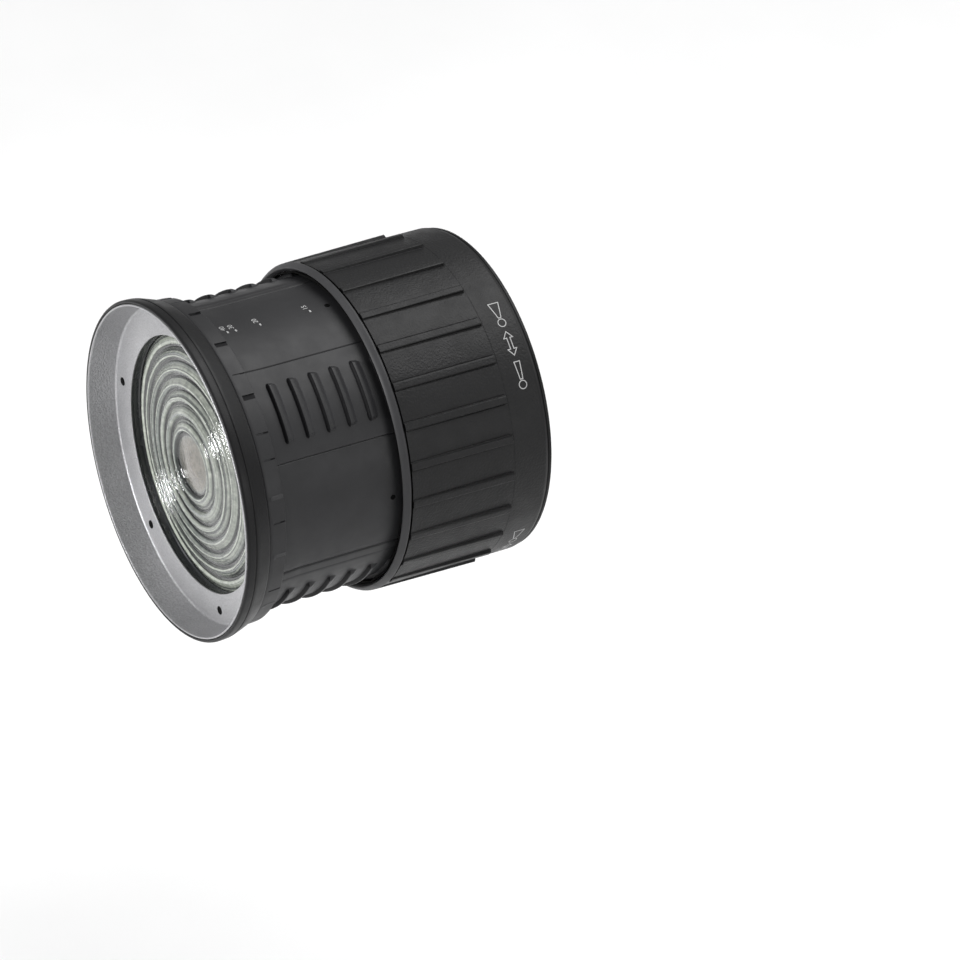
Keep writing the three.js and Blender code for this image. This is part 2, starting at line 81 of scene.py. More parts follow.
def faces_out(mesh):
    """Turns the faces of a closed mesh outwards."""
    mesh.calc_loop_triangles()
    co = np.array([v.co[:] for v in mesh.vertices])
    triangles = co[np.array([t.vertices[:] for t in mesh.loop_triangles])]
    if np.einsum("ij,ij->i", triangles[:, 0], np.cross(triangles[:, 1], triangles[:, 2])).sum() < 0:
        mesh.flip_normals()


def shaded(mesh, sharp=32.0):
    """Smooth shading, with the edges that turn more than that many degrees left sharp."""
    faces_out(mesh)
    mesh.polygons.foreach_set("use_smooth", [True] * len(mesh.polygons))
    mesh.set_sharp_from_angle(angle=math.radians(sharp))
    mesh.update()


def finish_piece(name, mesh, materials, body, replaced=()):
    piece = bpy.data.objects.new(name, mesh)
    bpy.context.scene.collection.objects.link(piece)
    for material in materials:
        mesh.materials.append(material)
    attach(piece, body)
    if replaced:
        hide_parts(*replaced)
    return piece


def rows_to_mesh(name, radii, depths, angles, closed=True):
    """A skin from rows of points. radii and depths are rows x columns, in mm."""
    rows, columns = radii.shape
    a = np.radians(angles)[None, :]
    co = np.stack([radii * np.sin(a), depths - LENGTH, radii * np.cos(a)], axis=-1) * MM
    index = np.arange(rows * columns).reshape(rows, columns)
    step = rows if closed else rows - 1
    faces = []
    for i in range(step):
        one, two = index[i], index[(i + 1) % rows]
        faces.append(np.stack([one, two, np.roll(two, -1), np.roll(one, -1)], axis=1))
    mesh = bpy.data.meshes.new(name)
    mesh.from_pydata(co.reshape(-1, 3).tolist(), [], np.concatenate(faces).tolist())
    return mesh


def turned(name, points, sides, closed):
    """A skin from one profile turned about the axis."""
    angles = np.arange(sides) * 360.0 / sides
    radii = np.repeat(np.array([p[0] for p in points])[:, None], sides, axis=1)
    depths = np.repeat(np.array([p[1] for p in points])[:, None], sides, axis=1)
    return rows_to_mesh(name, radii, depths, angles, closed)


def rounded(profile, radius):
    """The closed profile with each corner rounded. A corner given as (r, depth, 0) stays sharp."""
    out = []
    count = len(profile)
    for i, corner in enumerate(profile):
        here = Vector(corner[:2])
        size = corner[2] if len(corner) > 2 else radius
        before = Vector(profile[i - 1][:2]) - here
        after = Vector(profile[(i + 1) % count][:2]) - here
        size = min(size, before.length * CORNER_SHARE, after.length * CORNER_SHARE)
        if size < SMALLEST_CORNER:
            out.append(tuple(here))
            continue
        a, b = here + before.normalized() * size, here + after.normalized() * size
        for k in range(CORNER_STEPS + 1):
            t = k / CORNER_STEPS
            out.append(tuple(a * (1 - t) ** 2 + here * (2 * t * (1 - t)) + b * t**2))
    return out


def lathe(name, profile, body, material, replaced, sides=COARSE, corner=0.35):
    """A ring about the axis, from the closed outline of its section."""
    points = rounded(profile, corner)
    area = sum(p[0] * q[1] - q[0] * p[1] for p, q in zip(points, points[1:] + points[:1]))
    if area < 0:
        points.reverse()
    mesh = turned(name, points, sides, closed=True)
    shaded(mesh)
    return finish_piece(name, mesh, [material], body, [replaced])


def turned_disc(name, profile, body, material, replaced, sides=COARSE):
    """A solid about the axis whose profile runs from the axis back to the axis."""
    inner = profile[1:-1]
    mesh = turned(name, inner, sides, closed=False)
    co = [v.co.copy() for v in mesh.vertices]
    faces = [tuple(p.vertices) for p in mesh.polygons]
    first, last = len(co), len(co) + 1
    co += [point(0, 0, profile[0][1]), point(0, 0, profile[-1][1])]
    base = (len(inner) - 1) * sides
    for k in range(sides):
        n = (k + 1) % sides
        faces.append((first, k, n))
        faces.append((last, base + n, base + k))
    mesh = bpy.data.meshes.new(name)
    mesh.from_pydata(co, [], faces)
    shaded(mesh, DISC_SHARP)
    return finish_piece(name, mesh, [material], body, [replaced])


def relief(name, angles, stations, outer, inner, body, materials, replaced, face_material=None):
    """A ring whose outer skin is outer(angle, depth), closed by a plain inner profile.

    face_material(radius, angle, depth) gives the numbers of the materials of the faces.
    """
    angles = np.array(sorted(set(np.round(np.mod(angles, 360.0), 4))))
    stations = np.array(stations)
    a, d = np.meshgrid(angles, stations)
    skin = outer(a, d)
    radii = [skin] + [np.full((1, len(angles)), r) for r, _ in inner]
    depths = [d] + [np.full((1, len(angles)), depth) for _, depth in inner]
    mesh = rows_to_mesh(name, np.concatenate(radii), np.concatenate(depths), angles)
    if face_material:
        c = np.array([polygon.center[:] for polygon in mesh.polygons])
        turn = np.degrees(np.arctan2(c[:, 0], c[:, 2]))
        number = face_material(np.hypot(c[:, 0], c[:, 2]) / MM, turn, c[:, 1] / MM + LENGTH)
        mesh.polygons.foreach_set("material_index", number.astype(np.int32))
    shaded(mesh)
    return finish_piece(name, mesh, materials, body, [replaced])


def wrapped(angle):
    """Angles as -180..180."""
    return (np.asarray(angle) + 180.0) % 360.0 - 180.0


def ramp(x, low, high):
    """Rises smoothly from 0 at low to 1 at high."""
    t = np.clip((x - low) / (high - low), 0.0, 1.0)
    return t * t * (3 - 2 * t)


# ---------------------------------------------------------------- material helpers

LOW, HIGH = 0.3, 0.7  # most values of a noise texture lie between these
GLASS_IOR = 1.5


def new_material(name):
    material = bpy.data.materials.new(name)
    material.use_nodes = True
    nodes, links = material.node_tree.nodes, material.node_tree.links
    return material, nodes, links, nodes["Principled BSDF"]


def mapped_noise(nodes, links, scale, detail=3.0, roughness=0.55, stretch=None):
    coordinates = nodes.new("ShaderNodeTexCoord")
    source = coordinates.outputs["Object"]
    if stretch:
        mapping = nodes.new("ShaderNodeMapping")
        mapping.inputs["Scale"].default_value = stretch
        links.new(source, mapping.inputs["Vector"])
        source = mapping.outputs["Vector"]
    texture = nodes.new("ShaderNodeTexNoise")
    texture.inputs["Scale"].default_value = scale
    texture.inputs["Detail"].default_value = detail
    texture.inputs["Roughness"].default_value = roughness
    links.new(source, texture.inputs["Vector"])
    return texture.outputs["Fac"]


def ramped(nodes, links, source, stops):
    """A colour ramp. Each stop is (position, colour)."""
    node = nodes.new("ShaderNodeValToRGB")
    elements = node.color_ramp.elements
    while len(elements) < len(stops):
        elements.new(0.5)
    for element, (position, color) in zip(elements, stops):
        element.position = position
        element.color = (*color, 1.0)
    links.new(source, node.inputs["Fac"])
    return node.outputs["Color"]


def ranged(nodes, links, source, low, high, start=LOW, end=HIGH):
    """Maps start..end to low..high."""
    node = nodes.new("ShaderNodeMapRange")
    node.inputs["From Min"].default_value = start
    node.inputs["From Max"].default_value = end
    node.inputs["To Min"].default_value = low
    node.inputs["To Max"].default_value = high
    links.new(source, node.inputs["Value"])
    return node.outputs["Result"]


def bumped(nodes, links, source, shader, strength, distance, normal=None):
    node = nodes.new("ShaderNodeBump")
    node.inputs["Strength"].default_value = strength
    node.inputs["Distance"].default_value = distance
    links.new(source, node.inputs["Height"])
    if normal is not None:
        links.new(normal, node.inputs["Normal"])
    links.new(node.outputs["Normal"], shader.inputs["Normal"])
    return node.outputs["Normal"]


def times(nodes, links, one, two):
    node = nodes.new("ShaderNodeMath")
    node.operation = "MULTIPLY"
    links.new(one, node.inputs[0])
    links.new(two, node.inputs[1])
    return node.outputs["Value"]


def mixed(nodes):
    """A colour mix node and its sockets: factor, the two colours, result."""
    mix = nodes.new("ShaderNodeMix")
    mix.data_type = "RGBA"
    return mix, mix.inputs[0], mix.inputs[6], mix.inputs[7], mix.outputs[2]


def multiplied(nodes, links, one, two):
    mix, factor, first, second, result = mixed(nodes)
    mix.blend_type = "MULTIPLY"
    factor.default_value = 1.0
    links.new(one, first)
    links.new(two, second)
    return result


def shade(color, factor):
    return tuple(min(1.0, c * factor) for c in color)


def grey(value):
    return (value, value, value)


# ---------------------------------------------------------------- paints and metals

CLOUD_SCALE, GLOSS_SCALE = 26.0, 90.0  # uneven tone and uneven gloss
WORN_LIGHTER = 4.0  # how much lighter a rubbed edge is
EDGE_START, EDGE_END = 0.53, 0.62  # pointiness where an edge starts to look rubbed, and where it does fully


def coated(name, color, roughness, grain, strength, specular, distance=0.00006, spread=0.14, worn=0.0):
    """Paint or plastic with a fine grain, uneven gloss and, if worn, lighter edges."""
    material, nodes, links, shader = new_material(name)
    shader.inputs["Specular IOR Level"].default_value = specular
    broad = mapped_noise(nodes, links, CLOUD_SCALE, 4.0, 0.6)
    tone = ramped(nodes, links, broad, [(LOW, shade(color, 1 - spread)), (HIGH, shade(color, 1 + spread))])
    if worn:
        geometry = nodes.new("ShaderNodeNewGeometry")
        edge = ranged(nodes, links, geometry.outputs["Pointiness"], 0.0, worn, EDGE_START, EDGE_END)
        _, factor, plain, rubbed, result = mixed(nodes)
        rubbed.default_value = (*shade(color, WORN_LIGHTER), 1.0)
        links.new(edge, factor)
        links.new(tone, plain)
        tone = result
    links.new(tone, shader.inputs["Base Color"])
    cloud = mapped_noise(nodes, links, GLOSS_SCALE)
    links.new(ranged(nodes, links, cloud, roughness - 0.05, roughness + 0.06), shader.inputs["Roughness"])
    fine = mapped_noise(nodes, links, grain, 2.0, 0.5)
    bumped(nodes, links, fine, shader, strength, distance)
    return material


def turned_metal(name, color, roughness):
    """Metal turned on a lathe: fine rings about the Y axis."""
    material, nodes, links, shader = new_material(name)
    shader.inputs["Metallic"].default_value = 1.0
    rings = mapped_noise(nodes, links, 1.0, 2.0, 0.6, stretch=(3.0, 2600.0, 3.0))
    tone = ramped(nodes, links, rings, [(LOW, shade(color, 0.82)), (HIGH, shade(color, 1.12))])
    links.new(tone, shader.inputs["Base Color"])
    links.new(ranged(nodes, links, rings, roughness - 0.06, roughness + 0.08), shader.inputs["Roughness"])
    bumped(nodes, links, rings, shader, strength=0.12, distance=0.00003)
    return material


def dish_material():
    """Silver paint with a fine hammered skin."""
    material, nodes, links, shader = new_material("dish_silver")
    shader.inputs["Metallic"].default_value = 0.65
    peel = mapped_noise(nodes, links, 860.0, 2.5, 0.6)
    broad = mapped_noise(nodes, links, 30.0, 4.0, 0.6)
    tone = ramped(nodes, links, broad, [(0.25, (0.37, 0.37, 0.38)), (0.75, (0.445, 0.445, 0.455))])
    speck = ramped(nodes, links, peel, [(0.35, grey(0.80)), (0.62, grey(1.06))])
    links.new(multiplied(nodes, links, tone, speck), shader.inputs["Base Color"])
    links.new(ranged(nodes, links, peel, 0.34, 0.50), shader.inputs["Roughness"])
    bumped(nodes, links, peel, shader, strength=0.9, distance=0.0004)
    return material


BEZEL_BLACK = coated(
    "bezel_black", (0.006, 0.006, 0.0066), roughness=0.42, grain=900.0, strength=0.5, specular=0.24,
    distance=0.00016, worn=0.12,
)
BARREL_GREY = coated(
    "barrel_charcoal", (0.0225, 0.0225, 0.024), roughness=0.46, grain=3000.0, strength=0.08, specular=0.32,
    worn=0.06,
)
COLLAR_GREY = coated(
    "collar_grey", (0.037, 0.037, 0.039), roughness=0.48, grain=3000.0, strength=0.10, specular=0.35,
    worn=0.08,
)
GRIP_BLACK = coated(
    "grip_leather_grain", (0.0095, 0.0095, 0.010), roughness=0.46, grain=760.0, strength=1.0, specular=0.28,
    distance=0.00030,
)
TRIM_GREY = coated(
    "ring_edge_satin", (0.009, 0.009, 0.0095), roughness=0.42, grain=3000.0, strength=0.1, specular=0.25,
    worn=0.1,
)
INSIDE_BLACK = coated(
    "inside_black", (0.006, 0.006, 0.007), roughness=0.75, grain=1800.0, strength=0.3, specular=0.2,
)
FELT = coated(
    "felt_black", grey(0.004), roughness=0.95, grain=2600.0, strength=0.9, specular=0.1, distance=0.0002,
)
GASKET = coated(
    "gasket_gloss", (0.022, 0.024, 0.027), roughness=0.24, grain=700.0, strength=0.3, specular=0.7,
    distance=0.0002,
)
BLACK_STEEL = coated(
    "blackened_steel", (0.006, 0.006, 0.007), roughness=0.45, grain=2600.0, strength=0.12, specular=0.3,
)
# Near-black painted shade, for the floors of the band's deep notches and the steep fronts of the barrel's
# ridges.
PAINTED_SHADE = coated(
    "painted_shade_dark", (0.007, 0.007, 0.008), roughness=0.6, grain=3000.0, strength=0.08, specular=0.15,
)
# Near-black: painted shade inside a screw's socket, and the colour of the wholly black dish and barrel
# screws.
BLACK_SCREW_AND_SOCKET_SHADE = coated("black_screw_and_socket_shade", grey(0.002), roughness=0.8, grain=2600.0, strength=0.1, specular=0.1)
INNER_METAL = turned_metal("inner_aluminium", (0.34, 0.34, 0.35), roughness=0.38)
STEEL = turned_metal("bright_steel", (0.5, 0.5, 0.51), roughness=0.28)
BRASS = turned_metal("turned_brass", (0.62, 0.45, 0.19), roughness=0.3)
MARK_WHITE = coated(
    "mark_white", grey(0.46), roughness=0.6, grain=3000.0, strength=0.05, specular=0.2, spread=0.12,
)
DISH_SILVER = dish_material()


# ---------------------------------------------------------------- glass


def radius_from_axis(nodes, links):
    """The distance of a point from the optical axis, in metres."""
    coordinates = nodes.new("ShaderNodeTexCoord")
    flat = nodes.new("ShaderNodeVectorMath")
    flat.operation = "MULTIPLY"
    flat.inputs[1].default_value = (1.0, 0.0, 1.0)
    links.new(coordinates.outputs["Object"], flat.inputs[0])
    length = nodes.new("ShaderNodeVectorMath")
    length.operation = "LENGTH"
    links.new(flat.outputs["Vector"], length.inputs[0])
    return length.outputs["Value"]


def concentric_noise(nodes, links, radius, fineness, wander):
    """Noise in rings about the axis, a little uneven round each ring."""
    drift = mapped_noise(nodes, links, 55.0, 2.0)
    moved = nodes.new("ShaderNodeMath")
    moved.operation = "MULTIPLY_ADD"
    moved.inputs[1].default_value = wander
    links.new(drift, moved.inputs[0])
    links.new(radius, moved.inputs[2])
    texture = nodes.new("ShaderNodeTexNoise")
    texture.noise_dimensions = "1D"
    texture.inputs["Scale"].default_value = fineness
    texture.inputs["Detail"].default_value = 2.0
    links.new(moved.outputs["Value"], texture.inputs["W"])
    return texture.outputs["Fac"]


def riser_shade_and_highlight_stops(zones, edge):
    """Painted shade lines with a painted highlight along their edge at the risers, in a glass that is pinker
    in the middle.
    """
    stops = [(0.0, (0.86, 0.72, 0.67)), (zones[1] / edge - 0.07, (0.88, 0.78, 0.74))]
    for r in zones[1:-1]:
        t = r / edge
        stops += [(t - 0.050, grey(0.9)), (t - 0.040, (0.03, 0.035, 0.045))]
        stops += [(t - 0.024, (0.04, 0.05, 0.06)), (t - 0.012, (1.7, 1.7, 1.66))]
    return stops


GLASS_TONES = [(0.3, (0.142, 0.156, 0.142)), (0.55, (0.222, 0.236, 0.213)), (0.75, (0.322, 0.341, 0.308))]
# Concentric streaks: the darker stops are painted shade, and the stops above 1 are painted highlight.
FINE_PAINTED_STREAKS = [(0.0, grey(0.95)), (0.38, (0.22, 0.23, 0.25)), (0.46, grey(0.92)), (0.62, grey(1.25))]
BROAD_PAINTED_STREAKS = [(0.0, grey(1.0)), (0.36, (0.50, 0.52, 0.56)), (0.46, grey(1.0)), (0.64, (1.2, 1.2, 1.18))]


def stepped_glass(zones, edge):
    """Pressed glass with a stippled skin, painted shade and painted highlight lines at the steps, and fine
    concentric grooves between with streaks of painted light and shade along them.
    """
    material, nodes, links, shader = new_material("stepped_lens_glass")
    shader.inputs["Transmission Weight"].default_value = 0.25
    shader.inputs["IOR"].default_value = GLASS_IOR
    shader.inputs["Specular IOR Level"].default_value = 0.25
    shader.inputs["Coat Weight"].default_value = 1.0
    shader.inputs["Coat Roughness"].default_value = 0.04
    radius = radius_from_axis(nodes, links)
    fleck = mapped_noise(nodes, links, 260.0, 5.0, 0.65)
    tone = ramped(nodes, links, fleck, GLASS_TONES)
    across = ranged(nodes, links, radius, 0.0, 1.0, start=0.0, end=edge * MM)
    steps = ramped(nodes, links, across, riser_shade_and_highlight_stops(zones, edge))
    middle = zones[1] * MM
    outside_middle = ranged(nodes, links, radius, 0.0, 1.0, start=0.8 * middle, end=middle)
    lines = times(nodes, links, concentric_noise(nodes, links, radius, 620.0, 0.0012), outside_middle)
    broad = times(nodes, links, concentric_noise(nodes, links, radius, 260.0, 0.002), outside_middle)
    fine = ramped(nodes, links, lines, FINE_PAINTED_STREAKS)
    coarse = ramped(nodes, links, broad, BROAD_PAINTED_STREAKS)
    stepped = multiplied(nodes, links, tone, steps)
    painted_streaks = multiplied(nodes, links, fine, coarse)
    links.new(multiplied(nodes, links, stepped, painted_streaks), shader.inputs["Base Color"])
    links.new(ranged(nodes, links, fleck, 0.08, 0.22), shader.inputs["Roughness"])
    pebbles = mapped_noise(nodes, links, 700.0, 2.0, 0.5)
    grooved = bumped(nodes, links, lines, shader, strength=0.6, distance=0.0006)
    stippled = bumped(nodes, links, pebbles, shader, strength=0.6, distance=0.0004, normal=grooved)
    links.new(stippled, shader.inputs["Coat Normal"])
    return material


def clear_glass():
    material, nodes, links, shader = new_material("rear_lens_glass")
    shader.inputs["Transmission Weight"].default_value = 0.95
    shader.inputs["IOR"].default_value = GLASS_IOR
    fleck = mapped_noise(nodes, links, 240.0, 5.0, 0.65)
    tone = ramped(nodes, links, fleck, [(LOW, (0.80, 0.84, 0.81)), (HIGH, (0.90, 0.93, 0.90))])
    links.new(tone, shader.inputs["Base Color"])
    links.new(ranged(nodes, links, fleck, 0.03, 0.10), shader.inputs["Roughness"])
    bumped(nodes, links, mapped_noise(nodes, links, 400.0, 2.0), shader, strength=0.05, distance=0.0002)
    return material


REAR_GLASS = clear_glass()


# ---------------------------------------------------------------- lens mouth

OPENING = 79.3  # radius of the clear opening in front of the glass

lathe(
    "bezel_ring",
    [
        (102.3, 11.0), (102.3, -0.1), (102.8, -1.6), (104.0, -1.7), (104.7, -0.5), (104.6, 3.3),
        (104.1, 3.6, 0), (104.1, 4.1, 0), (104.5, 4.4), (104.2, 6.0), (101.7, 13.6), (101.2, 14.5),
        (100.9, 14.5), (100.9, 12.0),
    ],
    FRONT, BEZEL_BLACK, "front_bezel", sides=FINE, corner=0.5,
)

lathe(
    "silver_dish",
    [
        (101.9, -1.9), (102.4, -1.3), (102.2, -0.7), (101.9, -0.5), (99.4, 16.0), (98.4, 16.8),
        (OPENING, 16.8), (OPENING, 15.9), (97.6, 15.9), (98.6, 15.2), (100.9, -1.1), (101.3, -1.9),
    ],
    FRONT, DISH_SILVER, "reflector_dish", sides=FINE, corner=0.5,
)

lathe(
    "lens_gasket_ring",
    [
        (79.7, 17.1), (83.2, 17.1), (83.2, 23.4), (79.9, 23.4), (79.9, 22.6), (80.4, 21.8),
        (80.4, 18.4), (79.7, 17.7),
    ],
    FRONT, GASKET, "lens_gasket", corner=0.2,
)

# The glass is domed. Each zone falls away outwards, then a riser jumps forwards to the next zone.
LENS_EDGE = 80.5
ZONES = [0.0, 21.5, 31.0, 40.0, 48.5, 57.0, 66.0, 74.0, LENS_EDGE]
LENS_APEX, LENS_DOME, LENS_BACK = 14.4, 7.4, 28.0
ZONE_FALL, ZONE_POINTS = 3.0, 10
RISER = 2.8
RISER_CURVE = ((0.12, 0.04), (0.3, 0.22), (0.5, 0.5), (0.7, 0.78), (0.88, 0.96), (1.0, 1.0))
GLASS_RADIUS, GLASS_SHOULDER = 82.4, 24.2  # the plain edge that the cell holds


def lens_base(radius):
    """Depth of the dome on which the zones start."""
    return LENS_APEX + LENS_DOME * (radius / OPENING) ** 2


def zone_share(t):
    """How far a zone has fallen: rounded over its first third, straight after that, 1 at its end."""
    return (1.5 * t * t if t < 1 / 3 else t - 1 / 6) * 1.2


def fresnel_profile():
    profile = [(0.0, LENS_APEX)]
    for start, end in zip(ZONES, ZONES[1:]):
        last = end == LENS_EDGE
        fall_end = end if last else end - RISER
        for i in range(1, ZONE_POINTS + 1):
            t = i / ZONE_POINTS
            profile.append((start + (fall_end - start) * t, lens_base(start) + ZONE_FALL * zone_share(t)))
        if not last:
            low, top = profile[-1][1], lens_base(end)
            for t, share in RISER_CURVE:
                profile.append((fall_end + RISER * t, low + (top - low) * share))
    back = [(radius, LENS_BACK) for radius in (GLASS_RADIUS, 60.0, 30.0, 0.0)]
    return profile + [(GLASS_RADIUS, GLASS_SHOULDER)] + back


LENS_GLASS = stepped_glass(ZONES, LENS_EDGE)
turned_disc("fresnel_glass", fresnel_profile(), FRONT, LENS_GLASS, "fresnel_lens", sides=FINE)


# ---------------------------------------------------------------- screws

SCREW_SIDES = 36
SOCKET_ROW = 6  # the first row of a screw head that is a hexagon
SIXTH = math.pi / 3


def screw(name, node, body, place, outward, radius, height, socket, metal=BLACK_STEEL):
    """A round head with a hexagonal socket. place is the middle of the head's foot."""
    hexagon = radius * 0.5
    rows = [  # radius and height, from the foot over the head into the socket
        (radius * 0.98, -0.5), (radius, 0.0), (radius, height * 0.45), (radius * 0.86, height * 0.85),
        (radius * 0.66, height), (hexagon * 1.12, height),
        (hexagon, height - 0.12), (hexagon, height - socket),
    ]
    co, faces = [], []
    for k, (r, h) in enumerate(rows):
        for i in range(SCREW_SIDES):
            a = 2 * math.pi * i / SCREW_SIDES
            reach = r
            if k >= SOCKET_ROW:
                sector = (a + SIXTH / 2) % SIXTH - SIXTH / 2
                reach = r * math.cos(SIXTH / 2) / math.cos(sector) * 1.05
            co.append(Vector((reach * math.cos(a), reach * math.sin(a), h)) * MM)
    for k in range(len(rows) - 1):
        for i in range(SCREW_SIDES):
            n = (i + 1) % SCREW_SIDES
            one, two = k * SCREW_SIDES, (k + 1) * SCREW_SIDES
            faces.append((one + i, one + n, two + n, two + i))
    last = (len(rows) - 1) * SCREW_SIDES
    faces.append(tuple(range(last, last + SCREW_SIDES)))
    faces.append(tuple(reversed(range(SCREW_SIDES))))
    mesh = bpy.data.meshes.new(name)
    mesh.from_pydata(co, [], faces)
    turn = Vector(outward).to_track_quat("Z", "Y").to_matrix().to_4x4()
    mesh.transform(Matrix.Translation(place) @ turn)
    # The socket's wall and floor take the second material, painted shade.
    for polygon in mesh.polygons:
        polygon.material_index = 1 if last - SCREW_SIDES <= polygon.index <= last else 0
    shaded(mesh, 35)
    return finish_piece(name, mesh, [metal, BLACK_SCREW_AND_SOCKET_SHADE], body, [node])


for i in range(6):
    screw(
        f"dish_screw_head_{i + 1}", f"dish_screw_{i + 1}", FRONT, point(89.8, 30 + 60 * i, 15.8), (0, -1, 0),
        radius=2.6, height=0.45, socket=0.3, metal=BLACK_SCREW_AND_SOCKET_SHADE,
    )

# On a raised panel the skin stands further out.
BARREL_SCREWS = {0: 92.42, 81: 92.42, 136: 93.02, 180: 92.42, 261: 92.42, 316: 93.02}
for i, (angle, skin) in enumerate(BARREL_SCREWS.items()):
    screw(
        f"barrel_screw_head_{i + 1}", f"barrel_screw_{i + 1}", FRONT, point(skin, angle, 100.9),
        point(1, angle, LENGTH), radius=1.6, height=0.3, socket=0.22, metal=BLACK_SCREW_AND_SOCKET_SHADE,
    )


# ---------------------------------------------------------------- accessory band

# Marks on a quarter of the band, by angle. Each has a width in degrees and a depth in mm.
NOTCH, CUT, HAIRLINE, PAD = (1.7, 0.9), (0.45, 0.45), (0.3, 0.45), (1.3, -0.15)
QUARTER = {9.4: NOTCH, 22.6: HAIRLINE, 31.4: NOTCH, 44.5: CUT, 53.5: CUT, 66.5: PAD, 75.5: CUT, 88.0: PAD}
BAND_MARKS = [
    (sign * angle + turn, mark)
    for angle, mark in QUARTER.items() for sign in (1, -1) for turn in (0, 180)
    if (angle, sign) != (88.0, -1)
]
BAND_FRONT, BAND_BACK = 15.2, 26.0
BAND_RADIUS, BAND_TAPER = 100.2, 0.5
BAND_INSIDE, NOTCH_FLOOR = 98.0, 99.35
SOFT = 0.12  # degrees over which a step rises


def band_skin(angle, depth):
    front_edge = 0.25 * (1 - ramp(depth, BAND_FRONT, 15.6))
    rear_edge = 0.3 * ramp(depth, 25.6, BAND_BACK)
    radius = BAND_RADIUS - BAND_TAPER * ramp(depth, 15.5, BAND_BACK) - rear_edge - front_edge
    cut = np.zeros_like(radius)
    for middle, (width, deep) in BAND_MARKS:
        near = np.abs(wrapped(angle - middle))
        cut = cut + (1 - ramp(near, width / 2, width / 2 + SOFT)) * ramp(depth, 17.6, 17.8) * deep
    return radius - cut


def band_material(radius, angle, depth):
    light = np.zeros(radius.shape, bool)
    for middle, mark in BAND_MARKS:
        if mark is PAD:
            light |= np.abs(wrapped(angle - middle)) < PAD[0] / 2
    marked = (depth > 17.7) & (depth < 25.8) & (radius > BAND_INSIDE)
    # A deep notch's floor gets painted shade; the pads are a lighter grey.
    return np.where(marked & (radius < NOTCH_FLOOR), 1, np.where(marked & light, 2, 0))


band_angles = list(np.arange(0, 360, 1.5))
for middle, (width, _) in BAND_MARKS:
    half = width / 2
    band_angles += [middle - half - SOFT, middle - half, middle, middle + half, middle + half + SOFT]
relief(
    "accessory_band_ring", band_angles,
    [BAND_FRONT, 15.4, 15.7, 17.55, 17.7, 17.85, 20.0, 22.5, 25.3, 25.7, 25.95],
    band_skin, [(97.3, BAND_BACK), (97.3, 17.2), (99.6, 17.2), (99.6, BAND_FRONT)], FRONT,
    [BARREL_GREY, PAINTED_SHADE, COLLAR_GREY], "accessory_band", band_material,
)


# ---------------------------------------------------------------- barrel

# Centre and width of each raised panel, and the two ends of its ridges, in degrees.
PANELS = [
    (38.7, 35.6, 27.0, 50.4),
    (131.3, 57.4, 114.6, 145.6),
    (218.7, 35.6, 207.0, 230.4),
    (311.3, 57.4, 294.6, 325.6),
]
WIDE_PANEL = 40
PANEL_RISE = 0.4
PANEL_FRONT = (27.9, 28.2)
GROOVE_DEPTH = 0.45
STEP_RISE, STEP_START, STEP_END = 0.2, 4.1, 3.8  # a faint step inside the edges of a wide panel
BARREL_R, BARREL_FRONT, BARREL_BACK, BARREL_BORE = 92.4, 26.3, 123.0, 90.2
FLARE, SHOULDER = 0.8, 3.4  # the barrel widens towards the band, then steps up to meet it
RIDGE_FIRST, RIDGE_PITCH, RIDGE_COUNT, RIDGE_HEIGHT = 38.8, 13.8, 6, 2.6
RIDGE_FRONT, RIDGE_REAR = 1.7, 5.2  # how far a ridge reaches each way from its crest
RIDGE_END = 2.6  # how far along the ridge its end fades, mm
END_START = 1.6  # how far before its end that starts, degrees


def ridge_shape(along, reach):
    """Height share of a ridge: steep at the front and at the ends, easing out to the rear."""
    front = np.clip(1 - np.sqrt(np.minimum(along / RIDGE_FRONT, 0) ** 2 + reach**2) ** 2.2, 0, 1)
    rear = np.clip(1 - (np.maximum(along / RIDGE_REAR, 0) ** 2 + reach**2), 0, 1) ** 1.5
    return np.where(along < 0, front, rear)


def ridge_place(angle, depth):
    """Distance from the nearest ridge crest, in mm along the axis, and past the ridge's end, as a share."""
    k = np.clip(np.round((depth - RIDGE_FIRST - 1.5) / RIDGE_PITCH), 0, RIDGE_COUNT - 1)
    along = depth - (RIDGE_FIRST + RIDGE_PITCH * k)
    reach = np.full(np.shape(angle), 9.0)
    for _, _, start, end in PANELS:
        off = np.abs(wrapped(angle - (start + end) / 2)) - (end - start) / 2 + END_START
        reach = np.minimum(reach, np.maximum(off, 0.0) * math.radians(1) * BARREL_R / RIDGE_END)
    return along, reach


def barrel_skin(angle, depth):
    radius = BARREL_R + FLARE * (1 - ramp(depth, 28, 44)) + SHOULDER * (1 - ramp(depth, 27.2, 27.9))
    radius = np.broadcast_to(radius, angle.shape).copy()
    on_panel = ramp(depth, *PANEL_FRONT)
    for centre, width, _, _ in PANELS:
        off = np.abs(wrapped(angle - centre))
        edge = width / 2
        radius = radius + PANEL_RISE * ((1 - ramp(off, edge - SOFT, edge + SOFT)) * on_panel)
        groove_half = 0.42 if width > WIDE_PANEL else 0.24
        groove = np.exp(-(((off - edge - groove_half) / groove_half) ** 2)) * on_panel
        radius = radius - GROOVE_DEPTH * groove
        if width > WIDE_PANEL:
            radius = radius + STEP_RISE * (1 - ramp(off, edge - STEP_START, edge - STEP_END)) * on_panel
    along, reach = ridge_place(angle, depth)
    return radius + (RIDGE_HEIGHT - PANEL_RISE) * ridge_shape(along, reach)


def barrel_material(radius, angle, depth):
    """The bore is black, and the steep front of a ridge gets painted shade."""
    along, reach = ridge_place(angle, depth)
    lift = ridge_shape(along, reach)
    # painted shade on the steep front flank of each ridge
    flank = (along < -0.25) & (lift > 0.02) & (lift < 0.97)
    return np.where(radius < BARREL_BORE + 0.8, 1, np.where(flank, 2, 0))


